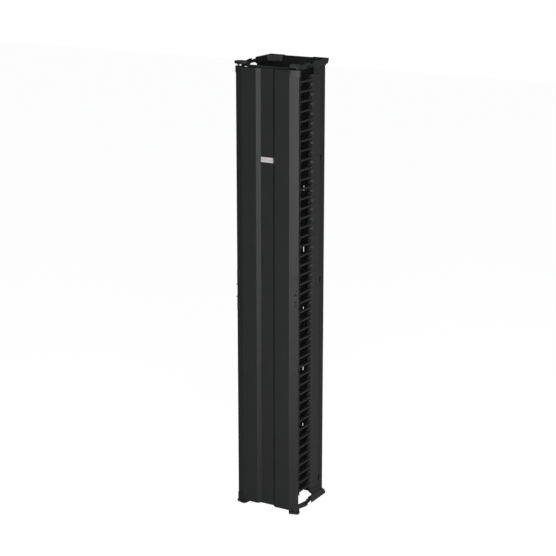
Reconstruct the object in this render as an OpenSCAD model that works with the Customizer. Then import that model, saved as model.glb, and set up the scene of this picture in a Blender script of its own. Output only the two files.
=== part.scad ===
// Vertical cable manager for a two-post rack: a tall open duct with combs of
// fingers down both sides and a front door that hangs on sliding latch rods.
// X runs along the door, Y goes back from the door, Z is up, in millimetres.

/* [Overall] */
// Height from the floor to the top of the end rails
height = 2137; // [1500:1:2600]
// Width over the two side faces of the frame
frame_w = 307; // [270:1:420]
// Depth from the door's face to the back of the rear feet
depth = 311; // [295:1:400]

/* [Side channels] */
// Sheet thickness of the side channels
channel_t = 2; // [1.5:0.1:3]
// Distance of the channel's front flange from the door's face
channel_front = 170; // [160:1:185]
// Width of the front flange
front_flange = 17; // [14:0.5:19]
// Width of the rear flange, from the channel's side face
rear_flange = 73.5; // [60:0.5:90]
// How far the rear feet stand behind the rear flange
foot_d = 26; // [22:0.5:34]
// Outer radius of the channel's bends
bend_r = 3; // [3:0.5:6]

/* [Rear web] */
// Sheet thickness of the rear web
web_t = 1.5; // [1:0.1:2.5]
// Overlap of the web on each rear flange
web_lap = 10; // [8:0.5:16]
// Gap from the end of the frame to the end of the web
web_end_gap = 5; // [2:0.5:10]
// Distance of each strap slot from the middle
strap_slot_x = 40; // [20:1:55]
// Width of a strap slot
strap_slot_w = 3.5; // [3:0.1:6]
// Length of a strap slot
strap_slot_h = 24; // [16:1:32]
// Height of the lowest strap slot
strap_first = 340; // [200:5:420]
// Spacing of the strap slots
strap_pitch = 295.6; // [150:0.1:350]

/* [End rails] */
// Wall thickness of the end rails
rail_t = 3; // [2:0.1:3.5]
// Width of a rail along the side of the frame
rail_w = 20; // [18:0.5:26]
// Depth of the tray in a rail, from the end of the frame to its plate
tray_d = 22; // [18:0.5:26]
// Height of the bottom rails' side wall
rail_h_bottom = 37; // [32:0.5:50]
// Height of the top rails' side wall
rail_h_top = 30; // [29:0.5:45]
// Bolt hole in the rear foot
foot_hole_d = 11; // [9:0.5:14]
// Bolt hole near the front of a rail
front_hole_d = 9; // [7:0.5:10]
// Distance of the front bolt hole from the rail's front end
front_hole_y = 56; // [50:1:64]

/* [Hinge arms] */
// Thickness of the block that holds the hinge bush
block_t = 12.5; // [11:0.5:18]
// How far the block reaches past the door's side
block_over = 4; // [3:0.5:8]
// Depth of the arm behind the block, from the end of the frame
arm_d = 26; // [25:0.5:32]
// Depth of the arm's inner wall where it is relieved for cables
arm_relief = 14; // [12:0.5:18]
// Wall thickness of the arm
arm_t = 3; // [2:0.1:4]
// Height of the neck that enters the rail
neck_h = 12; // [9:0.5:15]

/* [Hinge bushes] */
// Wall thickness of a bush
bush_wall = 2; // [1.5:0.1:3]
// Radius of the bush's flange
bush_flange_r = 9; // [7.5:0.5:11]
// Thickness of the bush's flange, which spaces the door from the block
bush_flange_t = 4.2; // [3:0.1:6]

/* [Fingers] */
// Spacing of the fingers, one rack unit
pitch = 44.45; // [40:0.05:50]
// Smallest gap from the floor to the combs
comb_floor_gap = 76; // [66:0.5:90]
// Gap from the top of the combs to the top of the frame
comb_top_gap = 59; // [50:0.5:70]
// Plate thickness of a comb
comb_t = 3; // [2.5:0.1:4]
// Width of the comb's plate on the channel
comb_w = 64; // [50:1:72]
// Radius of the round nose that the cables bend over
nose_r = 10; // [8.5:0.1:11]
// Distance of the finger tips from the door's face
tip_y = 50; // [47:1:80]
// Thickness of a finger
finger_t = 4; // [3:0.1:6]
// Height of a finger's outer edge
finger_edge = 7; // [6:0.1:10]
// Radius between a finger and the nose
finger_root_r = 14; // [8:0.5:17]
// Width of a finger at its tip
finger_tip_w = 14; // [8:0.5:15]
// Height of the keeper at each finger tip
keeper_h = 36; // [20:0.5:38]
// Thickness of the keeper
keeper_t = 3.5; // [2.5:0.1:5]

/* [Door] */
// How far the door reaches past the frame on each side
door_over = 10.5; // [8:0.5:14]
// Sheet thickness of the door
door_t = 1.5; // [1:0.1:2]
// Depth of the door's side flanges from its face
door_d = 24; // [22:0.5:26]
// Width of the bevel down each side
bevel_w = 40; // [36:0.5:44]
// Depth of the bevel
bevel_d = 16; // [12:0.5:17]
// Half the width of the centre recess at the door's face
recess_half = 49; // [44:0.5:60]
// Half the width of the recess floor
recess_floor_half = 33; // [33:0.5:38]
// Depth of the centre recess
recess_d = 14.5; // [8:0.5:17]
// Free gap between the door and the top hinge bushes
lift_gap = 6.3; // [3:0.1:10]
// Height of the lip along the door's top
lip_h = 11; // [0.5:0.5:12]
// Thickness of the caps' end plates
cap_plate = 2; // [2:0.1:4]
// Length of a corner cap
cap_h = 28; // [22:0.5:40]
// How far a cap stands past the door's side
cap_over = 3.5; // [1.5:0.5:3.5]
// Wall thickness of a cap
cap_t = 2.5; // [2:0.1:3]
// Width of the stiffener behind the recess
stiffener_w = 56; // [40:1:58]
// Depth of the stiffener
stiffener_d = 11; // [8:0.5:14]

/* [Latches] */
// Diameter of a latch rod
rod_d = 8; // [6:0.1:9]
// Distance of the rods from the door's side
rod_in = 13; // [12.5:0.5:16]
// Distance of the rods from the door's face
rod_y = 20; // [19:0.1:21]
// How far an extended rod enters its bush
rod_engage = 10.5; // [8:0.5:12]
// Gap between a drawn-back rod and its bush
rod_clear = 1.5; // [1:0.1:3]
// Distance of an extended knob from the middle of the door
knob_z = 30; // [28:0.5:40]
// How far a knob stands out of the bevel
knob_out = 11; // [7:0.1:11]
// Length of a latch cover
cover_l = 61; // [40:1:90]
// Width of a latch cover
cover_w = 15; // [12:0.5:17]
// Thickness of a latch cover
cover_t = 3.5; // [2:0.1:4]

/* [Label] */
// Width of the label card
label_w = 64; // [40:0.5:64]
// Height of the label card
label_h = 24.5; // [15:0.5:40]
// Thickness of the label card
label_t = 0.8; // [0.4:0.1:1.5]
// Height of the label's middle above the floor
label_z = 1698; // [1200:1:1760]

/* [Fits] */
// Radial gap of a rod in its bush and guides
fit_run = 0.05; // [0.02:0.01:0.1]
// Gap where two moulded or formed pieces lie side by side
fit_side = 0.3; // [0.1:0.05:0.5]

/* [Hidden] */
$fn = 32;

LEFT = -1;
RIGHT = 1;
BOTTOM = 0;
TOP = 1;

black_paint = [0.17, 0.17, 0.17];
black_plastic = [0.12, 0.12, 0.12];
zinc = [0.62, 0.63, 0.65];
nylon = [0.3, 0.3, 0.3];

// Frame
side_x = frame_w / 2;                      // outer side face of rails and combs
channel_x = side_x - comb_t;               // outer face of the channel's web
flange_tip_x = channel_x - front_flange;
post_x = channel_x - rear_flange;          // inner edge of the rear flange
rear_y = depth - foot_d;                   // back of the rear flange
plate_z = tray_d + rail_t;                 // where a channel ends on its rail
rail_front = channel_front + channel_t;
rail_in_x = side_x - rail_w;
foot_x = post_x - channel_t;               // inner face of a foot
foot_front = rear_y - channel_t;
foot_hole = [(foot_x + side_x) / 2, rear_y + 7.5];
rail_mid_x = (rail_in_x + side_x) / 2;
front_hole = [(rail_in_x + channel_x - channel_t) / 2, rail_front + front_hole_y];

// Doors and hinges
door_half = side_x + door_over;
rod_x = door_half - rod_in;
bevel_x = door_half - bevel_w;
bevel_k = bevel_d / bevel_w;
bevel_a = atan(bevel_k);
door_z0 = block_t + bush_flange_t + fit_side;          // underside of the door
door_z1 = height - block_t - bush_flange_t - lift_gap; // top of the door
door_mid = (door_z0 + door_z1) / 2;
skin_z0 = door_z0 + cap_plate;
skin_z1 = door_z1 - cap_plate;
rod_travel = rod_engage + rod_clear;
rod_r = rod_d / 2;
bush_r = rod_r + fit_run + bush_wall;

// Fingers
modules = 5;
rows = floor((height - comb_top_gap - comb_floor_gap) / (modules * pitch));
module_l = rows * pitch;
comb_z1 = height - comb_top_gap;
comb_z0 = comb_z1 - modules * module_l;
nose_x = side_x - nose_r;
nose_in = side_x - 2 * nose_r;

// Fasteners
screw_d = 4;
head_d = 8;
head_t = 2;
bolt_d = 5;
rivet_d = 4;
rivet_head = 7;
hole_gap = 0.15;

// ---------------------------------------------------------------- helpers

// Everything below is drawn with the door's face at y = 0
module place() {
    translate([0, -depth / 2, 0]) children();
}

module on_side(side) {
    if (side == RIGHT) children();
    else mirror([1, 0, 0]) children();
}

// Turns a piece drawn for the floor end over to the top end
module at_end(end) {
    if (end == BOTTOM) children();
    else translate([0, 0, height]) mirror([0, 0, 1]) children();
}

// The lower half of the door's hardware, mirrored about the door's middle
module door_half_z(end) {
    if (end == BOTTOM) children();
    else translate([0, 0, 2 * door_mid]) mirror([0, 0, 1]) children();
}

function left_of(v) = [-v[1], v[0]] / norm(v);

// A point moved to the left of two edges that meet there
function mitre(a, b, c, d) =
    let (n1 = left_of(b - a), n2 = left_of(c - b)) b + d * (n1 + n2) / (1 + n1 * n2);

function inset(p, d) =
    [for (i = [0:len(p) - 1])
        mitre(p[(i + len(p) - 1) % len(p)], p[i], p[(i + 1) % len(p)], d)];

function shift_path(p, d) =
    [for (i = [0:len(p) - 1])
        i == 0 ? p[0] + d * left_of(p[1] - p[0])
        : i == len(p) - 1 ? p[i] + d * left_of(p[i] - p[i - 1])
        : mitre(p[i - 1], p[i], p[i + 1], d)];

// A path whose corners are rounded to radius r
function round_corner(a, b, c, r) =
    let (u = (b - a) / norm(b - a), w = (c - b) / norm(c - b),
         turn = atan2(u[0] * w[1] - u[1] * w[0], u * w),
         cut = r * tan(abs(turn) / 2),
         start = b - cut * u, s = sign(turn),
         centre = start + s * r * left_of(u))
    [for (k = [0:4]) let (t = turn * k / 4, q = start - centre)
        centre + [q[0] * cos(t) - q[1] * sin(t), q[0] * sin(t) + q[1] * cos(t)]];

function round_path(p, r) =
    [p[0], for (i = [1:len(p) - 2]) each round_corner(p[i - 1], p[i], p[i + 1], r),
     p[len(p) - 1]];

// Sheet of thickness t on the left of a path
module sheet(p, t) {
    q = shift_path(p, t);
    polygon(concat(p, [for (i = [len(q) - 1:-1:0]) q[i]]));
}

// Cylinder between two heights
module rod_between(x, y, z0, z1, r) {
    translate([x, y, z0]) cylinder(r = r, h = z1 - z0);
}

// Cylinder along X
module bar_x(x0, x1, y, z, r) {
    translate([x0, y, z]) rotate([0, 90, 0]) cylinder(r = r, h = x1 - x0);
}

// Cylinder along Y
module bar_y(x, y0, y1, z, r) {
    translate([x, y0, z]) rotate([-90, 0, 0]) cylinder(r = r, h = y1 - y0);
}

module box(x0, x1, y0, y1, z0, z1) {
    translate([x0, y0, z0]) cube([x1 - x0, y1 - y0, z1 - z0]);
}

// ---------------------------------------------------------- side channels

hook_y = channel_front + comb_w + 11;
hook_w = 14;
hook_h = 26;
hook_out = 5;
// One hook near the floor, one at half height and one at the upper rack bolts
hook_zs = [comb_z0 + 29, height / 2 + 35, height * 0.788];
notch_d = 8;
notch_h = comb_top_gap - 1;
rack_hole_d = 7;
rack_hole_y = rear_y - 14;
rack_hole_zs = [height * 0.075, height * 0.925];
tab_ys = [rail_front + 0.27 * (rear_y - rail_front), rail_front + 0.8 * (rear_y - rail_front)];
tab_w = 18;
tab_h = 24;
rivet_z = plate_z + tab_h - 5;
web_rivet_x = post_x + web_lap / 2;
web_rivet_n = 8;
web_rivet_end = plate_z + 0.028 * height;
web_rivet_zs = [for (i = [0:web_rivet_n - 1])
    web_rivet_end + i * (height - 2 * web_rivet_end) / (web_rivet_n - 1)];
// Screws of one module, level with its fingers and in two columns by turns
comb_screw_ys = [channel_front + comb_w - 7, channel_front + 19];
comb_screw_rows = [for (i = [0:2:rows - 1]) i];
function comb_screws(m) = [for (i = comb_screw_rows)
    [comb_screw_ys[(i / 2) % 2], comb_z0 + m * module_l + (i + 0.5) * pitch]];
all_comb_screws = [for (m = [0:modules - 1]) each comb_screws(m)];

module channel_profile() {
    c = [bend_r, bend_r];
    path = round_path([[flange_tip_x, channel_front], [channel_x, channel_front],
                       [channel_x, rear_y], [post_x, rear_y]], bend_r);
    sheet(path, channel_t);
}

module side_channel(side) {
    place() on_side(side) color(black_paint) {
        difference() {
            translate([0, 0, plate_z]) linear_extrude(height - 2 * plate_z) channel_profile();
            // The front flange stops short of both ends
            for (end = [BOTTOM, TOP]) at_end(end)
                box(flange_tip_x - 1, channel_x + 1, channel_front - 1, channel_front + notch_d,
                    0, notch_h);
            for (z = hook_zs)
                box(channel_x - channel_t - 1, channel_x + 1, hook_y - hook_w / 2,
                    hook_y + hook_w / 2, z - hook_h / 2, z + hook_h / 2);
            for (z = rack_hole_zs)
                bar_x(channel_x - channel_t - 1, channel_x + 1, rack_hole_y, z, rack_hole_d / 2);
            for (p = all_comb_screws)
                bar_x(channel_x - channel_t - 1, channel_x + 1, p[0], p[1], screw_d / 2 + hole_gap);
            for (z = [rivet_z, height - rivet_z]) for (y = tab_ys)
                bar_x(channel_x - channel_t - 1, channel_x + 1, y, z, rivet_d / 2 + hole_gap);
            for (z = web_rivet_zs)
                bar_y(web_rivet_x, rear_y - channel_t - 1, rear_y + 1, z, rivet_d / 2 + hole_gap);
        }
        for (z = hook_zs) side_hook(z);
    }
}

// A tongue cut from the web and bent out, which hangs on the rack's upright
module side_hook(z) {
    foot = z - hook_h / 2;
    box(channel_x - channel_t, channel_x + hook_out, hook_y - hook_w / 2 + 1,
        hook_y + hook_w / 2 - 1, foot - 0.01, foot + channel_t);
    box(channel_x + hook_out - channel_t, channel_x + hook_out, hook_y - hook_w / 2 + 1,
        hook_y + hook_w / 2 - 1, foot, foot + hook_h * 0.7);
}

// --------------------------------------------------------------- rear web

strap_rows = floor((height - 2 * strap_first + 5) / strap_pitch) + 1;

module rear_web() {
    web_half = post_x + web_lap;
    place() color(black_paint) difference() {
        box(-web_half, web_half, rear_y, rear_y + web_t, web_end_gap, height - web_end_gap);
        for (side = [LEFT, RIGHT]) for (end = [BOTTOM, TOP]) on_side(side) at_end(end)
            box(foot_x - fit_side, web_half + 1, rear_y - 1, rear_y + web_t + 1,
                -1, plate_z + fit_side);
        for (side = [LEFT, RIGHT]) on_side(side) {
            for (i = [0:strap_rows - 1])
                box(strap_slot_x - strap_slot_w / 2, strap_slot_x + strap_slot_w / 2,
                    rear_y - 1, rear_y + web_t + 1,
                    strap_first + i * strap_pitch - strap_slot_h / 2,
                    strap_first + i * strap_pitch + strap_slot_h / 2);
            for (z = web_rivet_zs)
                bar_y(web_rivet_x, rear_y - 1, rear_y + web_t + 1, z, rivet_d / 2 + hole_gap);
        }
    }
}

module web_rivets() {
    place() color(zinc) for (side = [LEFT, RIGHT]) on_side(side) for (z = web_rivet_zs) {
        bar_y(web_rivet_x, rear_y - channel_t - 0.8, rear_y + web_t + 0.01, z, rivet_d / 2);
        bar_y(web_rivet_x, rear_y + web_t, rear_y + web_t + 1.2, z, rivet_head / 2);
    }
}

// -------------------------------------------------------------- end rails

arm_screw_ys = [rail_front + 10, rail_front + 26];

// Plan of a rail: a strip along the side and a foot behind the rear flange
rail_plan = [[rail_in_x, rail_front], [side_x, rail_front], [side_x, depth],
             [foot_x, depth], [foot_x, foot_front],
             [rail_in_x, foot_front - (rail_in_x - foot_x) * 0.68]];

module end_rail(side, end) {
    wall_h = end == TOP ? rail_h_top : rail_h_bottom;
    place() on_side(side) at_end(end) color(black_paint) difference() {
        union() {
            difference() {
                linear_extrude(plate_z) polygon(rail_plan);
                translate([0, 0, -1]) linear_extrude(tray_d + 1) polygon(inset(rail_plan, rail_t));
                box(rail_in_x + rail_t, side_x - rail_t, rail_front - 1, rail_front + rail_t + 1,
                    -1, tray_d);
            }
            box(channel_x, side_x, rail_front, rear_y, plate_z - 0.01, wall_h);
            for (y = tab_ys)
                box(channel_x - channel_t - 2, channel_x - channel_t, y - tab_w / 2, y + tab_w / 2,
                    plate_z - 0.01, plate_z + tab_h);
        }
        rod_between(foot_hole[0], foot_hole[1], tray_d - 1, plate_z + 1, foot_hole_d / 2);
        rod_between(front_hole[0], front_hole[1], tray_d - 1, plate_z + 1, front_hole_d / 2);
        for (y = arm_screw_ys)
            rod_between(rail_mid_x, y, tray_d - 1, plate_z + 1, bolt_d / 2 + hole_gap);
        for (y = tab_ys)
            bar_x(channel_x - channel_t - 3, channel_x - channel_t + 1, y, rivet_z,
                  rivet_d / 2 + hole_gap);
        for (z = crossbar_bolt_zs)
            bar_x(foot_x - 1, foot_x + rail_t + 1, crossbar_bolt_y, z, bolt_d / 2 + hole_gap);
        // The back of the foot slopes away from the plate
        translate([foot_x - 1, 0, 0]) rotate([90, 0, 90]) linear_extrude(side_x - foot_x + 2)
            polygon([[depth + 1, tray_d - 12], [depth, tray_d - 12], [depth - 6, tray_d - 3],
                     [depth - 9, plate_z + 0.1], [depth + 1, plate_z + 0.1]]);
    }
}

module rail_rivets() {
    place() color(zinc) for (side = [LEFT, RIGHT]) for (end = [BOTTOM, TOP])
        on_side(side) at_end(end) for (y = tab_ys) {
            bar_x(channel_x - channel_t - 2.8, channel_x + 0.01, y, rivet_z, rivet_d / 2);
            bar_x(channel_x, channel_x + 1.2, y, rivet_z, rivet_head / 2);
        }
}

// -------------------------------------------------------------- crossbars

crossbar_y0 = rear_y + web_t + 2;
crossbar_y1 = depth - 3;
crossbar_z0 = 2;
crossbar_z1 = tray_d - 1;
crossbar_t = 2;
crossbar_bolt_y = (crossbar_y0 + crossbar_y1) / 2 - 2;
crossbar_bolt_zs = [(crossbar_z0 + crossbar_z1) / 2];

module crossbar(end) {
    place() at_end(end) color(black_paint) difference() {
        box(-foot_x, foot_x, crossbar_y0, crossbar_y1, crossbar_z0, crossbar_z1);
        box(-foot_x + crossbar_t, foot_x - crossbar_t, crossbar_y0 - 1, crossbar_y1 - crossbar_t,
            crossbar_z0 + crossbar_t, crossbar_z1 - crossbar_t);
        for (z = crossbar_bolt_zs)
            bar_x(-foot_x - 1, foot_x + 1, crossbar_bolt_y, z, bolt_d / 2 + hole_gap);
    }
}

module crossbar_screws() {
    place() color(zinc) for (side = [LEFT, RIGHT]) for (end = [BOTTOM, TOP])
        on_side(side) at_end(end) for (z = crossbar_bolt_zs) {
            bar_x(foot_x - crossbar_t - 0.01, foot_x + rail_t + 2, crossbar_bolt_y, z, bolt_d / 2);
            bar_x(foot_x - crossbar_t - 3, foot_x - crossbar_t, crossbar_bolt_y, z, head_d / 2);
        }
}

// ------------------------------------------------------------ hinge arms

arm_front = door_d + 18;                 // clear of the door's edge as it swings
arm_back = rail_front - 22;
arm_step = arm_front + 26;               // where the inner wall is relieved
neck_back = arm_screw_ys[1] + 8;
neck_z = tray_d - neck_h;
block_x = door_half + block_over;
block_in = bevel_x - 6;
arm_in = bevel_x - 9.5;

function bevel_y(x) = (x - bevel_x) * bevel_k;

// Plan of the block, whose front follows the door's bevel
block_plan = [[block_in, 13], [bevel_x + 2, 0.5], [block_x, rod_y - 8.5],
              [block_x, rod_y + 10], [side_x - 2.5, arm_front + 4], [arm_in + 0.5, arm_front + 4],
              [arm_in, arm_front - 4]];

// Plan of the arm, which narrows back to the rail
arm_plan = [[arm_in + 0.5, arm_front], [side_x - 2.5, arm_front], [side_x - 5.5, arm_front + 26],
            [side_x, arm_front + 70], [side_x, arm_back], [rail_in_x, arm_back]];

module hinge_arm(side, end) {
    place() on_side(side) at_end(end) color(black_plastic) difference() {
        union() {
            linear_extrude(block_t) polygon(block_plan);
            difference() {
                linear_extrude(arm_d) polygon(arm_plan);
                // Deep tray at the front, shallow tray behind it
                translate([0, 0, -1]) intersection() {
                    linear_extrude(arm_d - arm_t + 1) polygon(inset(arm_plan, arm_t));
                    union() {
                        box(0, side_x, 0, arm_step - arm_t, 0, arm_d);
                        box(0, side_x, 0, depth, 0, arm_relief - arm_t + 1);
                    }
                }
                // Only the outer wall reaches down beside the shallow tray
                translate([0, 0, arm_relief]) linear_extrude(arm_d) polygon([
                    [0, arm_step], [side_x - 5.5 - arm_t, arm_step],
                    [side_x - arm_t, arm_front + 70], [side_x - arm_t, arm_back - arm_t],
                    [side_x - arm_t, arm_back + 1], [0, arm_back + 1]]);
                box(side_x - 12, side_x + 1, arm_back - 42, arm_back - 10, arm_relief + 1.5, arm_d - 3.5);
                arm_edge_cuts();
            }
            intersection() {
                box(arm_in, side_x, (arm_step + arm_back) / 2 - arm_t / 2,
                    (arm_step + arm_back) / 2 + arm_t / 2, 8, arm_relief - 1);
                linear_extrude(arm_d) polygon(arm_plan);
            }
            box(rail_in_x + rail_t + fit_side, side_x - rail_t - fit_side,
                arm_back - arm_t, neck_back, neck_z, tray_d);
        }
        rod_between(rod_x, rod_y, -1, block_t + 1, bush_r + 0.02);
        for (y = arm_screw_ys)
            rod_between(rail_mid_x, y, neck_z - 1, tray_d + 1, bolt_d / 2 + hole_gap);
    }
}

// The arm's edges slope in the side view, and the end by the rail is relieved
module arm_edge_cuts() {
    translate([arm_in - 5, 0, 0]) rotate([90, 0, 90]) linear_extrude(side_x - arm_in + 10) {
        polygon([[arm_front + 4.01, -1], [arm_front + 4.01, 10], [arm_back - 40, 2], [arm_back - 14, 2],
                 [arm_back - 14, neck_z], [arm_back + 1, neck_z], [arm_back + 1, -1]]);
        polygon([[arm_front + 60, arm_d], [arm_back + 1, arm_d - 3], [arm_back + 1, arm_d + 1],
                 [arm_front + 60, arm_d + 1]]);
    }
}

module arm_screws() {
    place() color(zinc) for (side = [LEFT, RIGHT]) for (end = [BOTTOM, TOP])
        on_side(side) at_end(end) for (y = arm_screw_ys) {
            rod_between(rail_mid_x, y, neck_z - 0.01, plate_z + 1, bolt_d / 2);
            rod_between(rail_mid_x, y, neck_z - 3, neck_z, head_d / 2);
        }
}

module hinge_bush(side, end) {
    place() on_side(side) at_end(end) color(nylon) difference() {
        union() {
            rod_between(rod_x, rod_y, 2, block_t + 0.01, bush_r);
            rod_between(rod_x, rod_y, block_t, block_t + bush_flange_t, bush_flange_r);
        }
        rod_between(rod_x, rod_y, 1, block_t + bush_flange_t + 1, rod_r + fit_run);
    }
}

// ---------------------------------------------------------------- fingers

module finger_module(side, index) {
    z0 = comb_z0 + (index - 1) * module_l;
    place() on_side(side) color(black_plastic) difference() {
        union() {
            translate([0, 0, z0 + fit_side / 2]) linear_extrude(module_l - fit_side) comb_profile();
            for (i = [0:rows - 1]) translate([0, 0, z0 + (i + 0.5) * pitch]) finger();
        }
        for (p = comb_screws(index - 1)) {
            bar_x(channel_x - 1, side_x + 1, p[0], p[1], screw_d / 2 + hole_gap);
            bar_x(side_x - head_t + 0.3, side_x + 1, p[0], p[1], head_d / 2 + hole_gap);
        }
    }
}

// Plate on the channel's side, a hollow round nose and a lip behind the flange
module comb_profile() {
    translate([channel_x, channel_front - 2]) square([comb_t, comb_w + 2]);
    difference() {
        translate([nose_x, channel_front]) circle(nose_r);
        translate([nose_x, channel_front]) circle(nose_r - comb_t);
        translate([nose_in - 1, channel_front]) square([2 * nose_r + 2, nose_r + 1]);
    }
    translate([flange_tip_x - comb_t, channel_front - 1]) square([comb_t - 0.1, 7]);
    translate([flange_tip_x - comb_t, channel_front - comb_t])
        square([max(nose_in + comb_t - flange_tip_x + comb_t, comb_t), comb_t - 0.1]);
}

finger_root_y = channel_front - 1;

// Side view of a finger of height h, which flares into the nose
module finger_side(h) {
    for (s = [1, -1]) scale_z(s) polygon(concat(
        [[finger_root_y, -0.01], [tip_y, -0.01], [tip_y, h / 2]],
        [for (a = [-90:15:0]) [channel_front - nose_r - finger_root_r, h / 2 + finger_root_r]
            + finger_root_r * [cos(a), sin(a)]],
        [[finger_root_y, h / 2 + finger_root_r]]));
}

// One finger, drawn about its own middle height
module finger() {
    tip_x = side_x - finger_tip_w;
    root_x = nose_in + 0.5;
    // The inner half is thinner, and narrows towards the tip
    intersection() {
        translate([root_x, 0, 0]) rotate([90, 0, 90]) linear_extrude(nose_x - root_x + 0.01)
            finger_side(finger_t);
        translate([0, 0, -pitch / 2]) linear_extrude(pitch)
            polygon([[side_x, finger_root_y + 1], [root_x, finger_root_y + 1],
                     [root_x, finger_root_y - 16], [root_x + 2.5, finger_root_y - 55],
                     [tip_x, tip_y + 6], [tip_x, tip_y - 1], [side_x, tip_y - 1]]);
    }
    translate([nose_x, 0, 0]) rotate([90, 0, 90]) linear_extrude(nose_r) finger_side(finger_edge);
    // The keeper across the tip
    translate([tip_x, tip_y + keeper_t, 0]) rotate([90, 0, 0])
        linear_extrude(keeper_t) polygon([[0, -keeper_h / 2 + 4], [4, -keeper_h / 2],
            [finger_tip_w, -keeper_h / 2], [finger_tip_w, keeper_h / 2], [4, keeper_h / 2],
            [0, keeper_h / 2 - 4]]);
}

module scale_z(s) {
    if (s > 0) children();
    else mirror([0, 1]) children();
}

module finger_screws(side) {
    place() on_side(side) color(zinc) for (p = all_comb_screws) {
        bar_x(channel_x - channel_t - 2, side_x - 0.5, p[0], p[1], screw_d / 2);
        bar_x(side_x - head_t + 0.32, side_x - 0.1, p[0], p[1], head_d / 2);
    }
}

// ------------------------------------------------------------------- door

skin_bend = door_t + 0.3;
door_path = [[-door_half, door_d], [-door_half, bevel_d], [-bevel_x, 0], [-recess_half, 0],
             [-recess_floor_half, recess_d], [recess_floor_half, recess_d], [recess_half, 0],
             [bevel_x, 0], [door_half, bevel_d], [door_half, door_d]];
skin_path = round_path(door_path, skin_bend);
cap_x = bevel_x + 0.5;                   // where the skin stops at a corner
cap_z1 = skin_z0 + cap_h;                // where a bottom cap ends
cap_proud = 1.7;
lip_half = bevel_x - 16;
rod_depth = (rod_y - bevel_y(rod_x)) * cos(bevel_a);   // from the bevel's face to a rod
slot_z0 = door_mid - knob_z - 3.5;
slot_z1 = door_mid - knob_z + rod_travel + 3.5;

// Turns a piece to the bevel: its X runs across the bevel and its Y goes inwards
module on_bevel(z) {
    translate([rod_x + rod_depth * sin(bevel_a), rod_y - rod_depth * cos(bevel_a), z])
        rotate([0, 0, bevel_a]) children();
}

module door_skin() {
    place() color(black_paint) difference() {
        union() {
            translate([0, 0, skin_z0]) linear_extrude(skin_z1 - skin_z0) sheet(skin_path, door_t);
            for (z = [skin_z0, skin_z1 - door_t]) translate([0, 0, z])
                linear_extrude(door_t) polygon(skin_path);
            // Upturned lip along the top, between the hinge arms
            box(-lip_half, lip_half, door_d - door_t, door_d, skin_z1 - door_t, skin_z1 + lip_h);
        }
        for (side = [LEFT, RIGHT]) for (end = [BOTTOM, TOP]) on_side(side) door_half_z(end) {
            box(cap_x, door_half + 1, -1, door_d + 1, skin_z0 - 1, cap_z1);
            on_bevel(slot_z0) translate([-3, -2, 0]) cube([6, 6, slot_z1 - slot_z0]);
        }
    }
}

module door_stiffener() {
    y0 = recess_d + door_t;
    place() color(black_paint) translate([0, 0, skin_z0 + 40]) linear_extrude(skin_z1 - skin_z0 - 80)
        sheet(round_path([[stiffener_w / 2, y0 + stiffener_d], [stiffener_w / 2, y0],
                          [-stiffener_w / 2, y0], [-stiffener_w / 2, y0 + stiffener_d]], 2),
              -door_t);
}

// Plan of a corner cap, which takes the place of the skin there
cap_side = door_half + cap_over;
cap_back = door_d + 5;
cap_plan = [[cap_x + 0.1, 0], [bevel_x + 7, bevel_y(bevel_x + 7) - cap_proud],
            [cap_side - 2, bevel_y(cap_side - 2) - cap_proud], [cap_side, bevel_y(cap_side)],
            [cap_side, cap_back], [cap_x + 0.1, cap_back]];
boss_r = rod_depth - 0.3;

// Cross-section of the tongue, from a distance behind the bevel's face
module bevel_strip(back) {
    x = [bevel_x + 10, rod_x - 7];
    far = door_t + 3;
    polygon([[x[0], bevel_y(x[0]) + back], [x[1], bevel_y(x[1]) + back],
             [x[1], bevel_y(x[1]) + far], [x[0], bevel_y(x[0]) + far]]);
}

module door_cap(side, end) {
    place() on_side(side) door_half_z(end) color(black_plastic) difference() {
        union() {
            difference() {
                translate([0, 0, door_z0]) linear_extrude(cap_z1 - door_z0 - 0.1)
                    polygon(cap_plan);
                translate([0, 0, skin_z0 + cap_plate]) linear_extrude(cap_h + 1)
                    polygon(inset(cap_plan, cap_t));
            }
            rod_between(rod_x, rod_y, door_z0, cap_z1 - 2, boss_r);
            // A tongue behind the bevel holds the cap in the skin
            translate([0, 0, cap_z1 - 8]) linear_extrude(7.9) bevel_strip(-0.5);
            translate([0, 0, cap_z1 - 8]) linear_extrude(20) bevel_strip(door_t / cos(bevel_a) + 0.2);
        }
        rod_between(rod_x, rod_y, door_z0 - 1, cap_z1 + 1, rod_r + fit_run);
    }
}

// ---------------------------------------------------------------- latches

guide_h = 18;
guide_zs = [door_mid - 0.066 * height, door_mid - 0.3 * height];

// Moulded blocks behind the bevel that steer the two rods of one side
module rod_guides(side) {
    inner = door_t / cos(bevel_a) + 0.05;
    place() on_side(side) color(black_plastic) for (end = [BOTTOM, TOP]) door_half_z(end)
        for (z = guide_zs) difference() {
            translate([0, 0, z - guide_h / 2]) linear_extrude(guide_h) polygon([
                [rod_x - 12, bevel_y(rod_x - 12) + inner], [rod_x + 11, bevel_y(rod_x + 11) + inner],
                [rod_x + 11, rod_y + 4], [rod_x + 7, rod_y + 8], [rod_x - 7, rod_y + 8],
                [rod_x - 12, rod_y + 3]]);
            rod_between(rod_x, rod_y, z - guide_h, z + guide_h, rod_r + fit_run);
        }
}

cover_z1 = door_mid - knob_z - 6;        // end of the lower cover next to the knob

// A raised cover on the bevel over each rod's end
module latch_cover(side, end) {
    place() on_side(side) door_half_z(end) color(black_plastic)
        on_bevel(cover_z1 - cover_l) difference() {
            linear_extrude(cover_l) polygon([[-cover_w / 2, -0.02], [-cover_w / 2 + 1, -cover_t],
                [cover_w / 2 - 1, -cover_t], [cover_w / 2, -0.02]]);
            translate([-1.5, -cover_t - 1, 8]) cube([3, 1.8, cover_l - 16]);
            for (z = [4, cover_l - 4])
                translate([0, -cover_t - 1, z]) rotate([-90, 0, 0]) cylinder(d = 3.2, h = cover_t + 2);
        }
}

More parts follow.
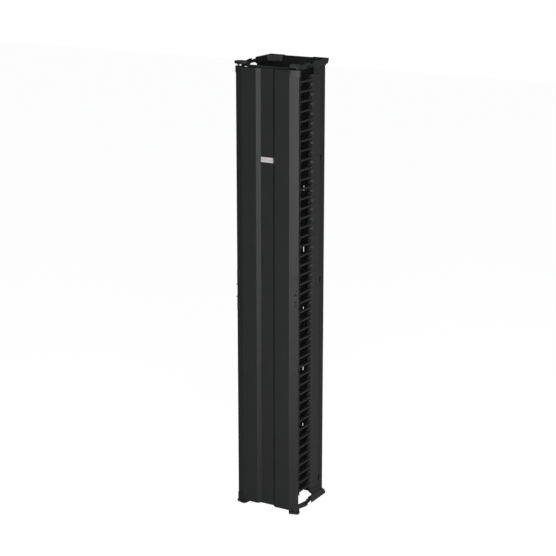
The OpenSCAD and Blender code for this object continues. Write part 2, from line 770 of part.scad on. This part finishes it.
module cover_screws() {
    place() color(zinc) for (side = [LEFT, RIGHT]) for (end = [BOTTOM, TOP])
        on_side(side) door_half_z(end) on_bevel(cover_z1 - cover_l) for (z = [4, cover_l - 4]) {
            translate([0, -cover_t - 0.4, z]) rotate([-90, 0, 0]) cylinder(d = 2.8, h = cover_t);
            translate([0, -cover_t - 0.8, z]) rotate([-90, 0, 0]) cylinder(d = 5, h = 0.8);
        }
}

// The opening side is drawn unlocked, the hinge side locked
function drawn_back(side) = side == RIGHT ? rod_travel : 0;

// The upper rods are longer, because the door hangs nearer to the floor
module latch_rod(side, end) {
    tip = block_t + bush_flange_t - rod_engage - (end == TOP ? lift_gap - fit_side : 0);
    place() on_side(side) door_half_z(end) translate([0, 0, drawn_back(side)]) color(zinc) {
        rod_between(rod_x, rod_y, tip + 1.5, rod_tail, rod_r);
        translate([rod_x, rod_y, tip]) cylinder(r1 = rod_r - 1, r2 = rod_r, h = 1.5);
    }
}

rod_tail = door_mid - knob_z + 8;
knob_r = rod_r + 3;
shutter_w = 10;
shutter_half = min(rod_travel + 3.8, knob_z - rod_travel - 0.5);

// Finger knob on a collar round the rod, its stem through the bevel's slot
module latch_knob(side, end) {
    z = door_mid - knob_z;
    place() on_side(side) door_half_z(end) translate([0, 0, drawn_back(side)])
        color(black_plastic) difference() {
            union() {
                rod_between(rod_x, rod_y, z - 6, z + 6, knob_r);
                on_bevel(z) {
                    translate([-2.5, -1, -2.5]) cube([5, rod_depth, 5]);
                    // A plate behind the skin keeps the slot shut
                    translate([-shutter_w / 2, door_t + 0.3, -shutter_half])
                        cube([shutter_w, 1.5, 2 * shutter_half]);
                    translate([-5.5, -2, -3]) cube([11, 1.7, 6]);
                    translate([-4.5, 0, 0]) rotate([90, 0, 90]) linear_extrude(9)
                        polygon([[-1.9, -2.6], [-1.9, 2.6], [-knob_out, 0.9], [-knob_out, -0.9]]);
                }
            }
            rod_between(rod_x, rod_y, z - 7, z + 7, rod_r + 0.02);
        }
}

// ------------------------------------------------------------------ label

module label_card() {
    place() color("white")
        box(-label_w / 2, label_w / 2, recess_d - label_t, recess_d,
            label_z - label_h / 2, label_z + label_h / 2);
}

// ------------------------------------------------------------------ nodes

side_channel(LEFT);  // side_channel_left
side_channel(RIGHT);  // side_channel_right
rear_web();
end_rail(LEFT, TOP);  // end_rail_top_left
end_rail(RIGHT, TOP);  // end_rail_top_right
end_rail(LEFT, BOTTOM);  // end_rail_bottom_left
end_rail(RIGHT, BOTTOM);  // end_rail_bottom_right
crossbar(TOP);  // crossbar_top
crossbar(BOTTOM);  // crossbar_bottom
hinge_arm(LEFT, TOP);  // hinge_arm_top_left
hinge_arm(RIGHT, TOP);  // hinge_arm_top_right
hinge_arm(LEFT, BOTTOM);  // hinge_arm_bottom_left
hinge_arm(RIGHT, BOTTOM);  // hinge_arm_bottom_right
hinge_bush(LEFT, TOP);  // hinge_bush_top_left
hinge_bush(RIGHT, TOP);  // hinge_bush_top_right
hinge_bush(LEFT, BOTTOM);  // hinge_bush_bottom_left
hinge_bush(RIGHT, BOTTOM);  // hinge_bush_bottom_right
finger_module(LEFT, 1);  // finger_module_left_1
finger_module(LEFT, 2);  // finger_module_left_2
finger_module(LEFT, 3);  // finger_module_left_3
finger_module(LEFT, 4);  // finger_module_left_4
finger_module(LEFT, 5);  // finger_module_left_5
finger_module(RIGHT, 1);  // finger_module_right_1
finger_module(RIGHT, 2);  // finger_module_right_2
finger_module(RIGHT, 3);  // finger_module_right_3
finger_module(RIGHT, 4);  // finger_module_right_4
finger_module(RIGHT, 5);  // finger_module_right_5
finger_screws(LEFT);  // finger_screws_left
finger_screws(RIGHT);  // finger_screws_right
arm_screws();
rail_rivets();
web_rivets();
crossbar_screws();
door_skin();
door_stiffener();
door_cap(LEFT, TOP);  // door_cap_top_left
door_cap(RIGHT, TOP);  // door_cap_top_right
door_cap(LEFT, BOTTOM);  // door_cap_bottom_left
door_cap(RIGHT, BOTTOM);  // door_cap_bottom_right
rod_guides(LEFT);  // rod_guides_left
rod_guides(RIGHT);  // rod_guides_right
latch_cover(LEFT, TOP);  // latch_cover_left_upper
latch_cover(LEFT, BOTTOM);  // latch_cover_left_lower
latch_cover(RIGHT, TOP);  // latch_cover_right_upper
latch_cover(RIGHT, BOTTOM);  // latch_cover_right_lower
cover_screws();
label_card();
latch_rod(LEFT, TOP);  // latch_rod_left_upper
latch_rod(LEFT, BOTTOM);  // latch_rod_left_lower
latch_rod(RIGHT, TOP);  // latch_rod_right_upper
latch_rod(RIGHT, BOTTOM);  // latch_rod_right_lower
latch_knob(LEFT, TOP);  // latch_knob_left_upper
latch_knob(LEFT, BOTTOM);  // latch_knob_left_lower
latch_knob(RIGHT, TOP);  // latch_knob_right_upper
latch_knob(RIGHT, BOTTOM);  // latch_knob_right_lower
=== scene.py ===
import math

import bpy
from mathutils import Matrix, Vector


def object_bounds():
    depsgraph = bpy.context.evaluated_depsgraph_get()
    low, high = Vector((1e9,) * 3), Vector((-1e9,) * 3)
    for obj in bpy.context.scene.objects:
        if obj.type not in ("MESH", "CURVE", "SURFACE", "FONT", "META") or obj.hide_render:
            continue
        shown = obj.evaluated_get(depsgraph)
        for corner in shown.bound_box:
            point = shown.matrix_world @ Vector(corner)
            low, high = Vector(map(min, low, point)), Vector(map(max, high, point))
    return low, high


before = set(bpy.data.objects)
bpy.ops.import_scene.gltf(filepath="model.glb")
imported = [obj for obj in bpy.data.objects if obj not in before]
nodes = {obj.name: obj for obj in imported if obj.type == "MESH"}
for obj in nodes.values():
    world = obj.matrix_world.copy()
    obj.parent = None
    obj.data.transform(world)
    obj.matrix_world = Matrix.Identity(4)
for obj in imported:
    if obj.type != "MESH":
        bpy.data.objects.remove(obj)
cad_low, cad_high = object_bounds()

# ---------------------------------------------------------------- Studio
# A camera above head height, to the right of the door, and a floor that looks white and keeps
# a faint shadow. A broad soft lamp stands on the door's right, with weaker ones above and
# beside it, and the air gives a weak fill.
scene = bpy.context.scene
door_face_y = cad_low.y
camera_right, camera_away, camera_height = 3.6058, 6.0656, 3.0683
camera_dip, camera_turn = 15.229, 30.266
focal_mm, sensor_mm = 102.68, 36

camera_data = bpy.data.cameras.new("camera")
camera = bpy.data.objects.new("camera", camera_data)
scene.collection.objects.link(camera)
camera.location = (camera_right, door_face_y - camera_away, camera_height)
camera.rotation_euler = (math.radians(90 - camera_dip), 0, math.radians(camera_turn))
camera_data.lens = focal_mm
camera_data.sensor_width = sensor_mm
camera_data.clip_end = 60
scene.camera = camera

scene.view_settings.view_transform = "Standard"


def node_tree(owner):
    """The owner's node tree, emptied, with a helper that adds a node."""
    owner.use_nodes = True
    tree = owner.node_tree
    tree.nodes.clear()

    def add(kind, **inputs):
        node = tree.nodes.new(kind)
        for key, value in inputs.items():
            node.inputs[key.replace("_", " ")].default_value = value
        return node

    return tree, add


world = bpy.data.worlds.new("studio_air")
scene.world = world
tree, add = node_tree(world)
air_light = add("ShaderNodeBackground", Color=(0.9, 0.95, 1.0, 1), Strength=0.12)
air_seen = add("ShaderNodeBackground", Color=(1, 1, 1, 1), Strength=1.0)
path = add("ShaderNodeLightPath")
mix = add("ShaderNodeMixShader")
out = add("ShaderNodeOutputWorld")
tree.links.new(path.outputs["Is Camera Ray"], mix.inputs[0])
tree.links.new(air_light.outputs[0], mix.inputs[1])
tree.links.new(air_seen.outputs[0], mix.inputs[2])
tree.links.new(mix.outputs[0], out.inputs[0])

floor_half = 14.0
floor_drop = 0.0005
floor_corners = [(-floor_half, -floor_half, 0), (floor_half, -floor_half, 0),
                 (floor_half, floor_half, 0), (-floor_half, floor_half, 0)]
floor_mesh = bpy.data.meshes.new("floor")
floor_mesh.from_pydata(floor_corners, [], [(0, 1, 2, 3)])
floor = bpy.data.objects.new("floor", floor_mesh)
scene.collection.objects.link(floor)
floor.location.z = -floor_drop
floor_paint = bpy.data.materials.new("studio_floor")
tree, add = node_tree(floor_paint)
matt = add("ShaderNodeBsdfDiffuse", Color=(0.5, 0.5, 0.5, 1))
glow = add("ShaderNodeEmission", Color=(1, 1, 1, 1), Strength=1.9)
path = add("ShaderNodeLightPath")
share = add("ShaderNodeMath")
share.operation = "MULTIPLY"
share.inputs[1].default_value = 0.5
mix = add("ShaderNodeMixShader")
out = add("ShaderNodeOutputMaterial")
tree.links.new(path.outputs["Is Camera Ray"], share.inputs[0])
tree.links.new(share.outputs[0], mix.inputs[0])
tree.links.new(matt.outputs[0], mix.inputs[1])
tree.links.new(glow.outputs[0], mix.inputs[2])
tree.links.new(mix.outputs[0], out.inputs[0])
floor_mesh.materials.append(floor_paint)


lamp_aim = Vector((0, 0, 1.05))


def soft_lamp(name, azimuth, distance, height, width, tall, power):
    """A flat lamp that looks at the duct's middle. Azimuth 0 is in front of the door."""
    data = bpy.data.lights.new(name, "AREA")
    data.shape = "RECTANGLE"
    data.size, data.size_y, data.energy = width, tall, power
    lamp = bpy.data.objects.new(name, data)
    scene.collection.objects.link(lamp)
    turn = math.radians(azimuth)
    lamp.location = (distance * math.sin(turn), -distance * math.cos(turn), height)
    aim = lamp_aim - lamp.location
    lamp.rotation_euler = aim.to_track_quat("-Z", "Y").to_euler()


soft_lamp("lamp_right", 32, 3.6, 1.6, 2.0, 3.2, 84)
soft_lamp("lamp_top", 50, 3.2, 4.2, 1.4, 1.4, 8)
soft_lamp("lamp_side", 105, 3.6, 0.7, 1.4, 1.8, 32)


# --------------------------------------------------------- Sheet-steel duct
# Two folded side channels and a flat rear web of black powder-coated sheet steel, riveted
# together. The web has pairs of slots for cable straps.
def powder_coat(name, grey, roughness=0.42):
    """Fine-textured black powder coat over sheet steel."""
    paint = bpy.data.materials.new(name)
    tree, add = node_tree(paint)
    where = add("ShaderNodeTexCoord")
    grain = add("ShaderNodeTexNoise", Scale=1500.0, Detail=3.0, Roughness=0.6)
    peel = add("ShaderNodeTexNoise", Scale=260.0, Detail=2.0)
    cloud = add("ShaderNodeTexNoise", Scale=7.0, Detail=4.0)
    for texture in (grain, peel, cloud):
        tree.links.new(where.outputs["Object"], texture.inputs["Vector"])
    tone = add("ShaderNodeMapRange", To_Min=grey * 0.86, To_Max=grey * 1.14)
    tree.links.new(cloud.outputs["Fac"], tone.inputs["Value"])
    colour = add("ShaderNodeCombineColor")
    for channel, cast in (("Red", 0.98), ("Green", 1.0), ("Blue", 1.01)):
        scaled = add("ShaderNodeMath")
        scaled.operation = "MULTIPLY"
        scaled.inputs[1].default_value = cast
        tree.links.new(tone.outputs[0], scaled.inputs[0])
        tree.links.new(scaled.outputs[0], colour.inputs[channel])
    gloss = add("ShaderNodeMapRange", To_Min=roughness - 0.05, To_Max=roughness + 0.07)
    tree.links.new(grain.outputs["Fac"], gloss.inputs["Value"])
    rough_bump = add("ShaderNodeBump", Strength=0.25, Distance=0.00008)
    tree.links.new(grain.outputs["Fac"], rough_bump.inputs["Height"])
    peel_bump = add("ShaderNodeBump", Strength=0.18, Distance=0.0002)
    tree.links.new(peel.outputs["Fac"], peel_bump.inputs["Height"])
    tree.links.new(rough_bump.outputs[0], peel_bump.inputs["Normal"])
    coat = add("ShaderNodeBsdfPrincipled")
    coat.inputs["Specular IOR Level"].default_value = 0.45
    tree.links.new(colour.outputs[0], coat.inputs["Base Color"])
    tree.links.new(gloss.outputs[0], coat.inputs["Roughness"])
    tree.links.new(peel_bump.outputs[0], coat.inputs["Normal"])
    out = add("ShaderNodeOutputMaterial")
    tree.links.new(coat.outputs[0], out.inputs[0])
    return paint


merge_gap = 0.00001          # metres
flat_angle, edge_angle = 0.5, 35


def finish_node(name, paint, edge=0.0005, segments=2):
    """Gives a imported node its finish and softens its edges."""
    piece = nodes[name]
    piece.data.materials.clear()
    piece.data.materials.append(paint)
    for polygon in piece.data.polygons:
        polygon.use_smooth = True
    weld = piece.modifiers.new("weld", "WELD")
    weld.merge_threshold = merge_gap
    flats = piece.modifiers.new("flats", "DECIMATE")
    flats.decimate_type = "DISSOLVE"
    flats.angle_limit = math.radians(flat_angle)
    if edge:
        soften = piece.modifiers.new("soften", "BEVEL")
        soften.width = edge
        soften.segments = segments
        soften.limit_method = "ANGLE"
        soften.angle_limit = math.radians(edge_angle)
        soften.use_clamp_overlap = True
    shade = piece.modifiers.new("shade", "WEIGHTED_NORMAL")
    shade.keep_sharp = True


frame_paint = powder_coat("frame_powder_coat", 0.022, 0.5)
for side in ("left", "right"):
    finish_node(f"side_channel_{side}", frame_paint, 0.0004)
finish_node("rear_web", frame_paint, 0.0003)

# --------------------------------------------------- End rails and crossbars
# Trays folded from thicker sheet that close the duct's four ends, with a foot behind the
# rear web. A short crossbar ties the feet together.
rail_paint = powder_coat("rail_powder_coat", 0.032, 0.40)
for end in ("top", "bottom"):
    for side in ("left", "right"):
        finish_node(f"end_rail_{end}_{side}", rail_paint, 0.0008, 3)
    finish_node(f"crossbar_{end}", rail_paint, 0.0006)


# -------------------------------------------------------- Hinge arms, bushes
# Moulded arms of black glass-filled nylon that carry the door, screwed into the rails. Each
# holds a flanged bush for a latch rod.
def moulded_plastic(name, grey, roughness=0.45, grain_scale=900.0, bump=0.3):
    """Black moulded plastic with a fine spark-eroded grain."""
    plastic = bpy.data.materials.new(name)
    tree, add = node_tree(plastic)
    where = add("ShaderNodeTexCoord")
    grain = add("ShaderNodeTexVoronoi", Scale=grain_scale)
    grain.feature = "SMOOTH_F1"
    flow = add("ShaderNodeTexNoise", Scale=35.0, Detail=3.0)
    for texture in (grain, flow):
        tree.links.new(where.outputs["Object"], texture.inputs["Vector"])
    colour = add("ShaderNodeMix")
    colour.data_type = "RGBA"
    colour.inputs["A"].default_value = (grey * 0.88, grey * 0.9, grey * 0.9, 1)
    colour.inputs["B"].default_value = (grey * 1.12, grey * 1.12, grey * 1.14, 1)
    tree.links.new(flow.outputs["Fac"], colour.inputs["Factor"])
    gloss = add("ShaderNodeMapRange", To_Min=roughness - 0.06, To_Max=roughness + 0.06)
    tree.links.new(flow.outputs["Fac"], gloss.inputs["Value"])
    skin = add("ShaderNodeBump", Strength=bump, Distance=0.00006)
    tree.links.new(grain.outputs["Distance"], skin.inputs["Height"])
    body = add("ShaderNodeBsdfPrincipled")
    tree.links.new(colour.outputs["Result"], body.inputs["Base Color"])
    tree.links.new(gloss.outputs[0], body.inputs["Roughness"])
    tree.links.new(skin.outputs[0], body.inputs["Normal"])
    out = add("ShaderNodeOutputMaterial")
    tree.links.new(body.outputs[0], out.inputs[0])
    return plastic


arm_nylon = moulded_plastic("arm_nylon", 0.030, 0.36)
bush_plastic = moulded_plastic("bush_acetal", 0.05, 0.3, 1400.0, 0.1)
for end in ("top", "bottom"):
    for side in ("left", "right"):
        finish_node(f"hinge_arm_{end}_{side}", arm_nylon, 0.0008, 3)
        finish_node(f"hinge_bush_{end}_{side}", bush_plastic, 0.0004)

# ------------------------------------------------------------- Finger combs
# Moulded combs of black plastic, screwed to the side channels. Each finger is one rack unit
# from the next, with a keeper across its tip that stops cables slipping out.
comb_plastic = moulded_plastic("comb_plastic", 0.030, 0.46)
for side in ("left", "right"):
    for index in range(1, 6):
        finish_node(f"finger_module_{side}_{index}", comb_plastic, 0.0007, 2)

# ------------------------------------------------------------------ Fasteners
# Black zinc-plated screws and rivets.
fastener_steel = bpy.data.materials.new("black_zinc")
tree, add = node_tree(fastener_steel)
where = add("ShaderNodeTexCoord")
spots = add("ShaderNodeTexNoise", Scale=420.0, Detail=3.0)
tree.links.new(where.outputs["Object"], spots.inputs["Vector"])
gloss = add("ShaderNodeMapRange", To_Min=0.28, To_Max=0.45)
tree.links.new(spots.outputs["Fac"], gloss.inputs["Value"])
zinc = add("ShaderNodeBsdfPrincipled", Metallic=0.8)
zinc.inputs["Base Color"].default_value = (0.06, 0.06, 0.062, 1)
tree.links.new(gloss.outputs[0], zinc.inputs["Roughness"])
out = add("ShaderNodeOutputMaterial")
tree.links.new(zinc.outputs[0], out.inputs[0])
for name in ("finger_screws_left", "finger_screws_right", "arm_screws", "rail_rivets",
             "web_rivets", "crossbar_screws", "cover_screws"):
    finish_node(name, fastener_steel, 0.0003)

# ----------------------------------------------------------------------- Door
# One folded sheet with a centre recess and two bevels, powder-coated black, with a folded
# stiffener behind the recess. Moulded caps close its corners.
door_paint = powder_coat("door_powder_coat", 0.030, 0.42)
finish_node("door_skin", door_paint, 0.0003)
finish_node("door_stiffener", door_paint, 0.0003)
cap_plastic = moulded_plastic("cap_plastic", 0.028, 0.42)
for end in ("top", "bottom"):
    for side in ("left", "right"):
        finish_node(f"door_cap_{end}_{side}", cap_plastic, 0.0006, 3)

# ------------------------------------------------------------ Latches, label
# Steel rods that slide in moulded guides behind the bevels, each with a finger knob that
# shows through a slot beside its fixed cover.
for side in ("left", "right"):
    finish_node(f"rod_guides_{side}", cap_plastic, 0.0005)
    for end in ("upper", "lower"):
        finish_node(f"latch_cover_{side}_{end}", cap_plastic, 0.0006, 3)
        finish_node(f"latch_rod_{side}_{end}", fastener_steel, 0)
        finish_node(f"latch_knob_{side}_{end}", cap_plastic, 0.0005)
# A blank white card with plain rule lines lies in the recess.
label_white = bpy.data.materials.new("label_card_stock")
tree, add = node_tree(label_white)
where = add("ShaderNodeTexCoord")
rules = add("ShaderNodeTexWave", Scale=26.0, Distortion=0.0)
rules.bands_direction = "Z"
tree.links.new(where.outputs["Object"], rules.inputs["Vector"])
thin = add("ShaderNodeMapRange", From_Min=0.93, From_Max=0.98)
tree.links.new(rules.outputs["Fac"], thin.inputs["Value"])
ink = add("ShaderNodeMix")
ink.data_type = "RGBA"
ink.inputs["A"].default_value = (0.80, 0.81, 0.82, 1)
ink.inputs["B"].default_value = (0.62, 0.30, 0.30, 1)
tree.links.new(thin.outputs[0], ink.inputs["Factor"])
card = add("ShaderNodeBsdfPrincipled", Roughness=0.5)
tree.links.new(ink.outputs["Result"], card.inputs["Base Color"])
out = add("ShaderNodeOutputMaterial")
tree.links.new(card.outputs[0], out.inputs[0])
finish_node("label_card", label_white, 0.0002)
